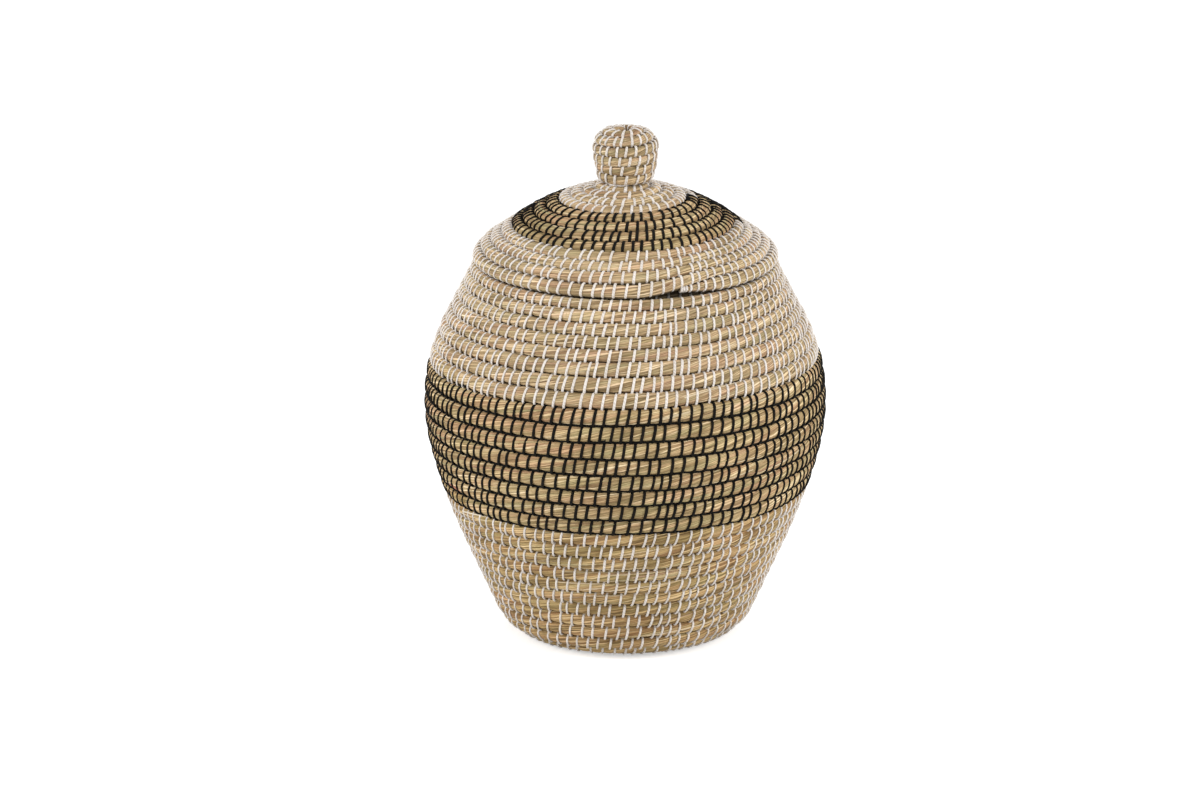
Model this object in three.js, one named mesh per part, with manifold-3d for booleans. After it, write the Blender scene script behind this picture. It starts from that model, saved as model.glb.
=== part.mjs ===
// A lidded basket of coiled seagrass. A bundle of blades is wound in a spiral and each course is
// sewn to the last one, for the basket from the middle of its base up to the rim, and for the lid
// from its middle out to the brim. The knob is a small coil of its own over a stuffing.
// Millimetres, +Z up. The basket stands on z = 0 about the Z axis, and its front faces -Y.
// Each mesh is one length of coil, from where a string is tied on to where the next one begins.
import * as THREE from 'three';
import { mergeVertices } from 'three/addons/utils/BufferGeometryUtils.js';
import Module from 'manifold-3d';

const wasm = await Module();
wasm.setup();

const TURN = 2 * Math.PI;
const QUARTER_TURN = 90;
const HALF_TURN = 180;
const ROUNDING = 1e-9;
const degrees = THREE.MathUtils.degToRad;

// The basket's outline, taken along the middle of the coil from the axis out, up and in.
const BASE_RADIUS = 70;
const FOOT_BEND = 31;
const FLARE_HEADING = 65.8;
const FLARE_LENGTH = 61;
const BELLY_BEND = 444;
const BELLY_HEADING = 76.2;
const SHOULDER_BEND = 148.6;
const NECK_HEADING = 117;
const NECK_LENGTH = 50.4;

// Course spacing along the outline, and the bundle's thickness through the wall. The course at the
// rim is drawn tighter than the others.
const LOWER = { pitch: 12.07, thickness: 12.2 };
const BAND = { pitch: 13.14, thickness: 13 };
const UPPER = { pitch: 11.8, thickness: 11.4 };
const RIM_PITCH = 9.2;

// Turns of coil between the knots, counted back from the tapered tail at the rim.
const UPPER_TURNS = 7.6;
const BAND_TURNS = 8;
const LOWER_TURNS = 11;
const RIM_TAIL_AZIMUTH = 67;
const RIM_TAIL_TURNS = 0.15;

// The lid's outline, from the edge of the brim up and in to the axis.
const LID_OVERHANG = 3.3;
const BRIM_HEADING = 115;
const BRIM_LENGTH = 3.5;
const BRIM_BEND = 25;
const SLOPE_HEADING = 145.8;
const SLOPE_LENGTH = 28.2;
const DOME_BEND = 180;
const CROWN_HEADING = 161.5;
const LID = { pitch: 10.7, thickness: 11 };
const CROWN = { pitch: 10.1, thickness: 11 };
const LID_BRIM_TURNS = 4.2;
const LID_BAND_TURNS = 4;
const LID_TAIL_AZIMUTH = -69;
const LID_TAIL_TURNS = 0.1;

// The ring under the lid is two courses deep, with one jog from the upper to the lower.
const RING = { pitch: 10.2, thickness: 9.6 };
const RING_PLAY = 2.5;
const RING_JOG_TURNS = 0.1;
const RING_AZIMUTH = LID_TAIL_AZIMUTH + HALF_TURN;

// The knob's outline, from its foot up to the axis.
const KNOB_FOOT_RADIUS = 16.5;
const KNOB_FOOT_HEADING = 67;
const KNOB_SIDE_BEND = 69;
const KNOB_SHOULDER_BEND = 10.2;
const KNOB_CAP_HEADING = 164;
const KNOB = { pitch: 8.85, thickness: 8 };
const KNOB_TAIL_AZIMUTH = 111;
const KNOB_TAIL_TURNS = 0.2;

// Clearances: between courses, between two lengths of coil, and where one piece rests on another.
const COURSE_GAP = 0.6;
const END_GAP = 0.3;
const SEAT_GAP = 0.3;

// A course has a ridge outside, two shoulders against its neighbours, and a narrower back inside.
const SHOULDER_SHARE = 0.15;
const BACK_SHARE = 0.42;
const BACK_HEIGHT_SHARE = 0.7;
const TIP_SHARE = 0.3;
const LEVELLING_COURSES = 4;
const STANDING_SHARE = 0.1;

// How finely the curves are faceted.
const LOOP_STEPS = 20;
const KNOB_STEPS = 12;
const LEAST_STEP_SHARE = 0.1;
const STUFFING_RINGS = 9;
const HEIGHT_TOLERANCE = 0.01;

const STRAW = 0xbfa27c;
const OLIVE_STRAW = 0x8a7148;
const OFFCUTS = 0xa98d5f;

// A chain of lines and arcs in the plane of radius and height, walked by its length.
class Outline {
  constructor(r, z, heading) {
    this.parts = [];
    this.length = 0;
    this.end = { r, z, heading: degrees(heading) };
  }

  line(length) {
    return this.add(length, 0);
  }

  arc(radius, toHeading) {
    const bend = degrees(toHeading) - this.end.heading;
    return this.add(radius * Math.abs(bend), bend);
  }

  lineToAxis() {
    return this.line(-this.end.r / Math.cos(this.end.heading));
  }

  arcToAxis() {
    const bend = Math.PI - this.end.heading;
    return this.add(this.end.r / Math.sin(bend) * bend, bend);
  }

  add(length, bend) {
    const part = { from: this.length, length, bend, start: this.end };
    this.parts.push(part);
    this.length += length;
    this.end = Outline.walk(part, length);
    return this;
  }

  at(distance) {
    const part = this.parts.findLast((one) => one.from <= distance) ?? this.parts[0];
    return Outline.walk(part, distance - part.from);
  }

  static walk({ length, bend, start }, distance) {
    const { r, z } = start;
    if (bend === 0) {
      const { heading } = start;
      return { r: r + distance * Math.cos(heading), z: z + distance * Math.sin(heading), heading };
    }
    const radius = length / bend;
    const heading = start.heading + distance / radius;
    return {
      r: r + radius * (Math.sin(heading) - Math.sin(start.heading)),
      z: z + radius * (Math.cos(start.heading) - Math.cos(heading)),
      heading,
    };
  }
}

// Where the lower edge of a course lies, in courses from the finished edge, for a place that is
// some turns back from the tip of the tail. The tail thins so that the finished edge is level, and
// the step over it is shared out among the next courses until the spiral climbs evenly.
function courseEdge(turns, tailTurns) {
  const course = Math.floor(turns + ROUNDING) - 1;
  if (course < 0) return 0;
  const part = Math.max(0, turns - 1 - course);
  const ramp = Math.min(1, TIP_SHARE + (1 - TIP_SHARE) * part / tailTurns);
  const evenness = Math.min(1, course / LEVELLING_COURSES);
  return course + ramp + (part - ramp) * evenness;
}

// How far a number of courses reaches. Each run of courses has a pitch, and the last one goes on.
function reach(courses, runs) {
  let distance = 0;
  let left = courses;
  for (const { count = Infinity, pitch } of runs) {
    const taken = Math.min(left, count);
    distance += taken * pitch;
    left -= taken;
  }
  return distance;
}

// A spiral on an outline. place turns a number of courses into a distance along the outline.
function spiral({ outline, place, tailTurns, thickness }) {
  return (turns) => {
    const near = place(courseEdge(turns, tailTurns));
    const far = place(courseEdge(turns + 1, tailTurns));
    const middle = outline.at((near + far) / 2);
    const share = Math.min(1, courseEdge(turns + 1, tailTurns) - courseEdge(turns, tailTurns));
    return {
      ...middle,
      halfHeight: (Math.abs(far - near) - COURSE_GAP) / 2,
      thickness: thickness * Math.sqrt(share),
    };
  };
}

// The five corners of a course's section, as points of radius and height.
function sectionCorners({ r, z, heading, halfHeight, thickness }) {
  const shape = [
    [thickness / 2, 0],
    [SHOULDER_SHARE * thickness, halfHeight],
    [-BACK_SHARE * thickness, BACK_HEIGHT_SHARE * halfHeight],
    [-BACK_SHARE * thickness, -BACK_HEIGHT_SHARE * halfHeight],
    [SHOULDER_SHARE * thickness, -halfHeight],
  ];
  return shape.map(([out, along]) => [
    r + out * Math.sin(heading) + along * Math.cos(heading),
    z - out * Math.cos(heading) + along * Math.sin(heading),
  ]);
}

// The places along a coil where its sections stand: its two ends, and every whole step between.
function stations(from, to, steps) {
  const places = [from];
  const clear = LEAST_STEP_SHARE / steps;
  for (let step = Math.floor(from * steps) + 1; step < to * steps; step += 1) {
    if (step / steps - from > clear && to - step / steps > clear) places.push(step / steps);
  }
  return [...places, to];
}

// A closed tube through the sections of a coil. winding is 1 where its turns run back from the tip
// anticlockwise, seen from above, and -1 where they run clockwise.
function coilGeometry({ section, from, to, azimuth, winding, steps }) {
  const points = [];
  const places = stations(from, to, steps);
  for (const turns of places) {
    const angle = degrees(azimuth) + winding * TURN * turns;
    for (const [r, z] of sectionCorners(section(turns))) {
      points.push(r * Math.cos(angle), r * Math.sin(angle), z);
    }
  }
  const sides = points.length / 3 / places.length;
  const faces = [];
  for (let ring = 0; ring < places.length - 1; ring += 1) {
    for (let side = 0; side < sides; side += 1) {
      const a = ring * sides + side;
      const b = ring * sides + (side + 1) % sides;
      faces.push([a, b, b + sides], [a, b + sides, a + sides]);
    }
  }
  const last = (places.length - 1) * sides;
  for (let side = 1; side < sides - 1; side += 1) {
    faces.push([0, side + 1, side], [last, last + side, last + side + 1]);
  }
  const geometry = new THREE.BufferGeometry();
  geometry.setAttribute('position', new THREE.Float32BufferAttribute(points, 3));
  geometry.setIndex(faces.flatMap(([a, b, c]) => (winding > 0 ? [a, c, b] : [a, b, c])));
  return geometry;
}

// A length of coil stops half an end gap short of each neighbour.
function lengthOfCoil({ section, from, to, ...rest }) {
  const back = (turns, side) => turns + side * END_GAP / 2 / (TURN * section(turns).r);
  return coilGeometry({ section, from: back(from, 1), to: back(to, -1), ...rest });
}

// The least distance between one turn of a coil and the next, taken between their corners.
function leastGap({ section, from, to, steps }) {
  let least = Infinity;
  for (const turns of stations(from, to - 1, steps)) {
    for (const [r, z] of sectionCorners(section(turns))) {
      for (const [nextR, nextZ] of sectionCorners(section(turns + 1))) {
        least = Math.min(least, Math.hypot(nextR - r, nextZ - z));
      }
    }
  }
  return least;
}

function toSolid(geometry) {
  const bare = geometry.clone();
  bare.deleteAttribute('normal');
  bare.deleteAttribute('uv');
  const merged = mergeVertices(bare);
  const mesh = new wasm.Mesh({
    numProp: 3,
    vertProperties: new Float32Array(merged.attributes.position.array),
    triVerts: new Uint32Array(merged.index.array),
  });
  return new wasm.Manifold(mesh);
}

// The base loops are pressed flat where they stand: whatever lies under z = 0 is cut off.
function cutAtFloor(geometry) {
  const { vertProperties, triVerts } = toSolid(geometry).trimByPlane([0, 0, 1], 0).getMesh();
  const flat = new THREE.BufferGeometry();
  flat.setAttribute('position', new THREE.BufferAttribute(new Float32Array(vertProperties), 3));
  flat.setIndex(new THREE.BufferAttribute(new Uint32Array(triVerts), 1));
  return flat;
}

function piece(name, geometry, material) {
  geometry.computeVertexNormals();
  const mesh = new THREE.Mesh(geometry, material);
  mesh.name = name;
  return mesh;
}

const grass = (tone) => new THREE.MeshStandardMaterial({ color: tone, roughness: 0.75, metalness: 0 });
const whiteSewn = () => grass(STRAW);
const blackSewn = () => grass(OLIVE_STRAW);

// The basket
const wallOutline = new Outline(0, LOWER.thickness * (1 / 2 - STANDING_SHARE), 0)
  .line(BASE_RADIUS)
  .arc(FOOT_BEND, FLARE_HEADING)
  .line(FLARE_LENGTH)
  .arc(BELLY_BEND, BELLY_HEADING)
  .arc(SHOULDER_BEND, NECK_HEADING)
  .line(NECK_LENGTH);

// A knot comes after a whole number of turns and a part, and the edge between the strings' courses
// climbs through one course in a turn, so its middle height lies half a turn nearer the rim.
const upperCourses = UPPER_TURNS - 1 / 2;
const bandCourses = upperCourses + BAND_TURNS;

const placeOnWall = (courses) => wallOutline.length - reach(courses, [
  { count: 1, pitch: RIM_PITCH },
  { count: upperCourses - 1, pitch: UPPER.pitch },
  { count: BAND_TURNS, pitch: BAND.pitch },
  { pitch: LOWER.pitch },
]);

const wallTurns = bandCourses + placeOnWall(bandCourses) / LOWER.pitch;
const baseTurns = wallTurns - UPPER_TURNS - BAND_TURNS - LOWER_TURNS;

const wallLengths = [
  { name: 'upper_wall_coil', turns: UPPER_TURNS, size: UPPER, material: whiteSewn() },
  { name: 'black_band_coil', turns: BAND_TURNS, size: BAND, material: blackSewn() },
  { name: 'lower_wall_coil', turns: LOWER_TURNS, size: LOWER, material: whiteSewn() },
  { name: 'base_coil', turns: baseTurns, size: LOWER, material: whiteSewn() },
];

const gaps = {};

// Builds one length of coil after another, from the tip of the tail back.
function coilLengths(lengths, { outline, place, tailTurns, azimuth, winding, steps }) {
  let from = 0;
  return lengths.map(({ name, turns, size, material }) => {
    const section = spiral({ outline, place, tailTurns, thickness: size.thickness });
    const run = { section, from, to: from + turns, azimuth, winding, steps };
    from += turns;
    gaps[name] = leastGap(run);
    return piece(name, lengthOfCoil(run), material);
  });
}

const basket = new THREE.Group();
basket.add(...coilLengths(wallLengths, {
  outline: wallOutline,
  place: placeOnWall,
  tailTurns: RIM_TAIL_TURNS,
  azimuth: RIM_TAIL_AZIMUTH,
  winding: -1,
  steps: LOOP_STEPS,
}));
const base = basket.children.at(-1);
base.geometry = cutAtFloor(base.geometry);

// The lid, drawn with the edge of its brim at z = 0
const rimRadius = wallOutline.end.r;
const lidOutline = new Outline(rimRadius + LID_OVERHANG, 0, BRIM_HEADING)
  .line(BRIM_LENGTH)
  .arc(BRIM_BEND, SLOPE_HEADING)
  .line(SLOPE_LENGTH)
  .arc(DOME_BEND, CROWN_HEADING)
  .lineToAxis();
const outerCourses = LID_BRIM_TURNS + LID_BAND_TURNS - 1 / 2;

const placeOnLid = (courses) => reach(courses, [
  { count: outerCourses, pitch: LID.pitch },
  { pitch: CROWN.pitch },
]);

const lidTurns = outerCourses + (lidOutline.length - placeOnLid(outerCourses)) / CROWN.pitch;
const crownTurns = lidTurns - LID_BRIM_TURNS - LID_BAND_TURNS;

const lidLengths = [
  { name: 'lid_brim_coil', turns: LID_BRIM_TURNS, size: LID, material: whiteSewn() },
  { name: 'lid_band_coil', turns: LID_BAND_TURNS, size: LID, material: blackSewn() },
  { name: 'lid_crown_coil', turns: crownTurns, size: CROWN, material: whiteSewn() },
];

const lid = new THREE.Group();
lid.add(...coilLengths(lidLengths, {
  outline: lidOutline,
  place: placeOnLid,
  tailTurns: LID_TAIL_TURNS,
  azimuth: LID_TAIL_AZIMUTH,
  winding: 1,
  steps: LOOP_STEPS,
}));

// The height of the lid's face at a radius, the given distance outside the middle of its coil.
function lidHeight(radius, outside) {
  let low = 0;
  let high = lidOutline.length;
  const face = (distance) => {
    const { r, z, heading } = lidOutline.at(distance);
    return { r: r + outside * Math.sin(heading), z: z - outside * Math.cos(heading) };
  };
  while (high - low > HEIGHT_TOLERANCE) {
    const middle = (low + high) / 2;
    if (face(middle).r > radius) low = middle;
    else high = middle;
  }
  return face(low).z;
}

// The locating ring hangs against the underside of the brim and clears the mouth all round.
const mouthRadius = rimRadius - BACK_SHARE * UPPER.thickness;
const ringRadius = mouthRadius - RING_PLAY - RING.thickness / 2;
const ringHalfHeight = (RING.pitch - COURSE_GAP) / 2;
const ringAt = (z) => ({
  r: ringRadius,
  z,
  heading: degrees(QUARTER_TURN),
  halfHeight: ringHalfHeight,
  thickness: RING.thickness,
});
const ringRoom = sectionCorners(ringAt(0)).map(
  ([r, z]) => lidHeight(r, -BACK_SHARE * LID.thickness) - z,
);
const ringTop = Math.min(...ringRoom) - SEAT_GAP;
const ringTurns = 2 - RING_JOG_TURNS;

function ringSection(turns) {
  const jog = (turns - (1 - RING_JOG_TURNS)) / RING_JOG_TURNS;
  return ringAt(ringTop - RING.pitch * Math.min(Math.max(jog, 0), 1));
}

lid.add(piece('lid_locating_ring', lengthOfCoil({
  section: ringSection,
  from: 0,
  to: ringTurns,
  azimuth: RING_AZIMUTH,
  winding: 1,
  steps: LOOP_STEPS,
}), whiteSewn()));

// The knob stands on the crown, and its foot course follows the crown's slope from outside it.
const knobFootInner = KNOB_FOOT_RADIUS - BACK_SHARE * KNOB.thickness;
const knobFootZ = lidHeight(knobFootInner, LID.thickness / 2) + SEAT_GAP;
const knobOutline = new Outline(KNOB_FOOT_RADIUS, knobFootZ, KNOB_FOOT_HEADING)
  .arc(KNOB_SIDE_BEND, QUARTER_TURN)
  .arc(KNOB_SHOULDER_BEND, KNOB_CAP_HEADING)
  .arcToAxis();
const knobTurns = knobOutline.length / KNOB.pitch;

const knobLength = { name: 'knob_coil', turns: knobTurns, size: KNOB, material: whiteSewn() };

lid.add(...coilLengths([knobLength], {
  outline: knobOutline,
  place: (courses) => courses * KNOB.pitch,
  tailTurns: KNOB_TAIL_TURNS,
  azimuth: KNOB_TAIL_AZIMUTH,
  winding: 1,
  steps: KNOB_STEPS,
}));

// The stuffing fills the knob up to the backs of its courses, facet to facet, and rests on the crown.
const stuffingInset = BACK_SHARE * KNOB.thickness + SEAT_GAP;
const stuffingSide = Array.from({ length: STUFFING_RINGS }, (_, ring) => {
  const { r, z, heading } = knobOutline.at(knobOutline.length * (ring / STUFFING_RINGS));
  return new THREE.Vector2(
    r - stuffingInset * Math.sin(heading),
    z + stuffingInset * Math.cos(heading),
  );
}).filter(({ x }) => x > 0);
const stuffingTop = new THREE.Vector2(0, knobOutline.end.z - stuffingInset);
const stuffingFoot = new THREE.Vector2(0, lidHeight(0, LID.thickness / 2) + SEAT_GAP);
lid.add(piece(
  'knob_stuffing',
  new THREE.LatheGeometry(
    [stuffingFoot, ...stuffingSide, stuffingTop],
    KNOB_STEPS,
    degrees(KNOB_TAIL_AZIMUTH + QUARTER_TURN),
  ).rotateX(degrees(QUARTER_TURN)),
  grass(OFFCUTS),
));

// The lid rests on the rim.
const [rim] = basket.children;
const [brim] = lid.children;
rim.geometry.computeBoundingBox();
brim.geometry.computeBoundingBox();
lid.position.z = rim.geometry.boundingBox.max.z - brim.geometry.boundingBox.min.z + SEAT_GAP;

const model = new THREE.Group();
model.add(basket, lid);

for (const [name, gap] of Object.entries(gaps)) {
  console.log(`${name}: least gap between turns ${gap.toFixed(2)} mm`);
}

export default model;
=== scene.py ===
import bisect
import math
import bpy
import numpy as np
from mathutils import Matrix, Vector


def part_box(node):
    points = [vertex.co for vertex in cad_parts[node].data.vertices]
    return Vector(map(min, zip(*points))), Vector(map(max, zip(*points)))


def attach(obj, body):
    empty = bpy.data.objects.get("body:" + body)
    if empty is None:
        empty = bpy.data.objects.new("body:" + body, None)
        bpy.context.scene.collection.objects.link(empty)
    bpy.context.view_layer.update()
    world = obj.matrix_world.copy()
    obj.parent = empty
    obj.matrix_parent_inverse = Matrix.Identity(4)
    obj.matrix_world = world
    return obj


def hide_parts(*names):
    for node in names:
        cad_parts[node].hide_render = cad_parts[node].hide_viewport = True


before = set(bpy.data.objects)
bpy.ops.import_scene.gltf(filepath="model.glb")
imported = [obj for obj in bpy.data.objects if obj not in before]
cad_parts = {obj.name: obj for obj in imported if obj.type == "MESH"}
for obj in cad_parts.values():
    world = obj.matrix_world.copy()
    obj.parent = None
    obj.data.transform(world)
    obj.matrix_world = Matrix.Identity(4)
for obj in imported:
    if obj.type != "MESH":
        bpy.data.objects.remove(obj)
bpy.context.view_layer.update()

# The base of the basket
# The basket is started in the middle of its base. A bundle of dry seagrass blades about 12 mm thick
# is wound in a flat spiral, new blades are fed in as it grows, and the lowest side is pressed level.
MM = 0.001
TURN = 2 * math.pi

# Lengths are in mm, headings in degrees from level, and spreads in shares of what they vary. A
# bundle's section is drawn through SECTION_ANGLES, where 0 is straight out of the wall and 90 is up.
BLADES_ROUND = 20
SECTION_ANGLES = np.radians([*np.linspace(-100, 100, 12), 132, 164, 196, 228])
BACK_SHARE = 0.42
STEPS_PER_STITCH = 3
NIP_BETWEEN = 0.1
PROUD_HEIGHT, PROUD_LENGTH = 0.045, 40
SWELL_HEIGHT, SWELL_LENGTH = 0.03, 55
TONE_LENGTH, PATCH_BLADES = 70, 4
LEAST_GIRTH, LEAST_RADIUS = 3, 4
WALK_STEPS = 4000

# The stitches crowd by these shares at the tail. Further in, one that falls near a stitch of the
# course before is set BESIDE it.
WALL_SPACINGS = (7.9, 9.5)
SPACING_SPREAD = 0.13
CROWDING = (0.26, 0.26, 0.4, 0.65, 0.7, 0.8, 0.85)
BESIDE = 2.3
BESIDE_SPREAD = 0.12
BESIDE_REACH = 0.3

# Courses wander up and down by a share of their height, and the step over the tail is shared out
# over the next few.
WANDER = 0.035
WANDER_LENGTH = 14
EDGE_INSET = 0.05
NOTCH_REACH = 0.6
LEVEL_COURSES = 4

# The grains of the grass, along the bundle and two ways across it, are its blades, their fibres and
# patches of red or olive. Its tones run from the darkest to the palest at these stops.
BLADE_GRAIN = (70, 1.15, 1.15)
FIBRE_GRAIN = (30, 0.6, 0.6)
PATCH_GRAIN = (38, 4, 4)
TONE_STOPS = (0.26, 0.38, 0.5, 0.61, 0.75)
BLADE_SHARE = 0.45
RED_SHARE, OLIVE_SHARE = 0.6, 0.55
SEAM_WIDTH = 0.2

# Shade is painted into the grooves between the courses, from one share of the half height to another.
GROOVE_START, GROOVE_END = 0.93, 0.99
# There, and where the lid's brim hides the ring, a share of the colour goes to a near black: painted
# shade.
GROOVE_SHADE = 0.8
DEEP_SHADE = (0.006, 0.005, 0.004, 1)

# The wall's outline from the middle of the base to the rim, and its courses from the rim down.
BASE_RADIUS = 70
FOOT_BEND = 31
FLARE_HEADING = 65.8
FLARE_LENGTH = 61
BELLY_BEND = 444
BELLY_HEADING = 76.2
SHOULDER_BEND = 148.6
NECK_HEADING = 117
NECK_LENGTH = 50.4
LOWER_PITCH, BAND_PITCH, UPPER_PITCH, RIM_PITCH = 12.07, 13.14, 11.8, 9.2
LOWER_THICKNESS, BAND_THICKNESS, UPPER_THICKNESS = 12.2, 13, 11.4
UPPER_TURNS, BAND_TURNS, LOWER_TURNS = 7.6, 8, 11
THICKNESS_EASE = 0.4
RIM_TAIL_AZIMUTH = 67
STANDING_SHARE = 0.1
FLOOR_CLEARANCE = 0.4

# The margins in each piece's surface layout, and the size of an end's patch there. A stitch's or a
# blade's CELL in it is so many times as wide as it is high.
ALONG_MARGIN, ROUND_MARGIN = 0.03, 0.04
END_PATCH = 0.001


class Outline:
    """A chain of lines and arcs in the plane of radius and height, walked by its length in mm."""

    def __init__(self, r, z, heading):
        self.parts = []
        self.length = 0
        self.end = (r, z, math.radians(heading))

    def add(self, length, bend):
        self.parts.append((self.length, length, bend, self.end))
        self.length += length
        self.end = tuple(float(value) for value in self.at(self.length))
        return self

    def line(self, length):
        return self.add(length, 0)

    def arc(self, radius, to_heading):
        bend = math.radians(to_heading) - self.end[2]
        return self.add(radius * abs(bend), bend)

    def line_to_axis(self):
        return self.line(-self.end[0] / math.cos(self.end[2]))

    def arc_to_axis(self):
        bend = math.pi - self.end[2]
        return self.add(self.end[0] / math.sin(bend) * bend, bend)

    def at(self, distance):
        distance = np.asarray(distance, float)
        found = np.zeros((3,) + distance.shape)
        for index, (start, length, bend, (r, z, heading)) in enumerate(self.parts):
            walked = distance - start
            turned = heading + bend * walked / length
            if bend:
                radius = length / bend
                here = (
                    r + radius * (np.sin(turned) - math.sin(heading)),
                    z + radius * (math.cos(heading) - np.cos(turned)),
                    turned,
                )
            else:
                here = (r + walked * math.cos(heading), z + walked * math.sin(heading), turned)
            reached = (distance >= start) | (index == 0)
            found = np.where(reached, np.stack(here), found)
        return found

    def raised(self, height):
        """Lifts the whole outline."""
        self.parts = [
            (start, length, bend, (r, z + height, heading))
            for start, length, bend, (r, z, heading) in self.parts
        ]


def reach(courses, *runs):
    """How far a number of courses reaches. Each run is a number of courses and their pitch."""
    counts, pitches = np.array(runs).T
    return np.interp(courses, np.cumsum([0, *counts]), np.cumsum([0, *(counts * pitches)]))


def sampled(values, row, column):
    """Reads a grid between its points. Its columns wrap round and its rows don't."""
    cells = values.shape[1]
    low_row = np.clip(np.floor(row).astype(int), 0, len(values) - 2)
    low_column = np.floor(column).astype(int)
    up, aside = row - low_row, column - low_column
    near, far = low_column % cells, (low_column + 1) % cells
    low = values[low_row, near] * (1 - aside) + values[low_row, far] * aside
    high = values[low_row + 1, near] * (1 - aside) + values[low_row + 1, far] * aside
    return low * (1 - up) + high * up


def drift(along, around, cells, seed):
    """Smooth random values from -1 to 1, one for each whole step along and each cell around."""
    row = along - along.min()
    values = np.random.default_rng(seed).uniform(-1, 1, (int(row.max()) + 2, cells))
    part = row % 1
    return sampled(values, np.floor(row) + part * part * (3 - 2 * part), around)


def tubes(name, points, joined, strand, tint, groove=0, sheets=1):
    """A mesh of tubes from points[tube, station, side] in mm. Joined tubes close on themselves, and
    the others get flat ends. sheets is how many columns the tubes are laid out in for a picture."""
    count, stations, sides = points.shape[:3]
    spans = stations if joined else stations - 1
    tube, station, side = np.indices((count, spans, sides))

    def corner(up, on):
        return (tube * stations + (station + up) % stations) * sides + (side + on) % sides

    quads = np.stack([corner(0, 0), corner(1, 0), corner(1, 1), corner(0, 1)], -1).reshape(-1, 4)
    flat = points.reshape(-1, 3) * MM
    a, b, c, d = (flat[quads[:, index]] for index in range(4))
    ends = np.arange(count)[:, None] * stations * sides + np.arange(sides)
    ends = np.concatenate([ends, (ends + (stations - 1) * sides)[:, ::-1]])
    ring_middle = np.repeat(points[:, :spans].mean(2).reshape(-1, 3) * MM, sides, axis=0)
    outward = ((np.cross(c - a, d - b)) * (a - ring_middle)).sum() > 0
    if count == 1:
        rows = max(1, round(math.sqrt(stations / sides)))
        per_row = math.ceil(spans / rows)
        place = station // per_row
        left = (station - place * per_row) / per_row
        step = 1 / per_row
    else:
        rows = math.ceil(count / sheets)
        place = tube // sheets
        used = 1 - 2 * ALONG_MARGIN
        left = (ALONG_MARGIN + used * station / spans + tube % sheets) / sheets
        step = used / spans / sheets
    used = 1 - 2 * ROUND_MARGIN
    low = (ROUND_MARGIN + used * side / sides + place) / rows
    high = low + used / sides / rows
    right = left + step
    layout = np.stack([left, low, right, low, right, high, left, high], -1).reshape(-1, 4, 2)
    if not outward:
        quads, layout, ends = quads[:, ::-1], layout[:, ::-1], ends[:, ::-1]
    corners, starts, layout = quads.reshape(-1), np.arange(len(quads)) * 4, layout.reshape(-1, 2)
    if not joined:
        starts = np.concatenate([starts, len(corners) + np.arange(len(ends)) * sides])
        corners = np.concatenate([corners, ends.reshape(-1)])
        spoke = np.arange(sides) / sides * TURN
        patch = 0.5 + END_PATCH * np.stack([np.cos(spoke), np.sin(spoke)], -1)
        layout = np.concatenate([layout, np.tile(patch, (len(ends), 1))])
    mesh = bpy.data.meshes.new(name)
    mesh.vertices.add(len(flat))
    mesh.vertices.foreach_set("co", flat.ravel())
    mesh.loops.add(len(corners))
    mesh.loops.foreach_set("vertex_index", corners.astype(np.int32))
    mesh.polygons.add(len(starts))
    mesh.polygons.foreach_set("loop_start", starts.astype(np.int32))
    mesh.update(calc_edges=True)
    mesh.shade_smooth()
    mesh.uv_layers.new(name="OFBake").uv.foreach_set("vector", layout.astype(np.float32).ravel())
    # groove is the share of painted shade at each point: in the grooves and where the lid's brim hides
    # the ring.
    for label, kind, key, values in (
        ("strand", "FLOAT_VECTOR", "vector", strand),
        ("tint", "FLOAT", "value", tint),
        ("groove", "FLOAT", "value", groove + 0 * tint),
    ):
        layer = mesh.attributes.new(label, kind, "POINT")
        layer.data.foreach_set(key, values.astype(np.float32).ravel())
    piece = bpy.data.objects.new(name, mesh)
    bpy.context.scene.collection.objects.link(piece)
    return piece


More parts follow.
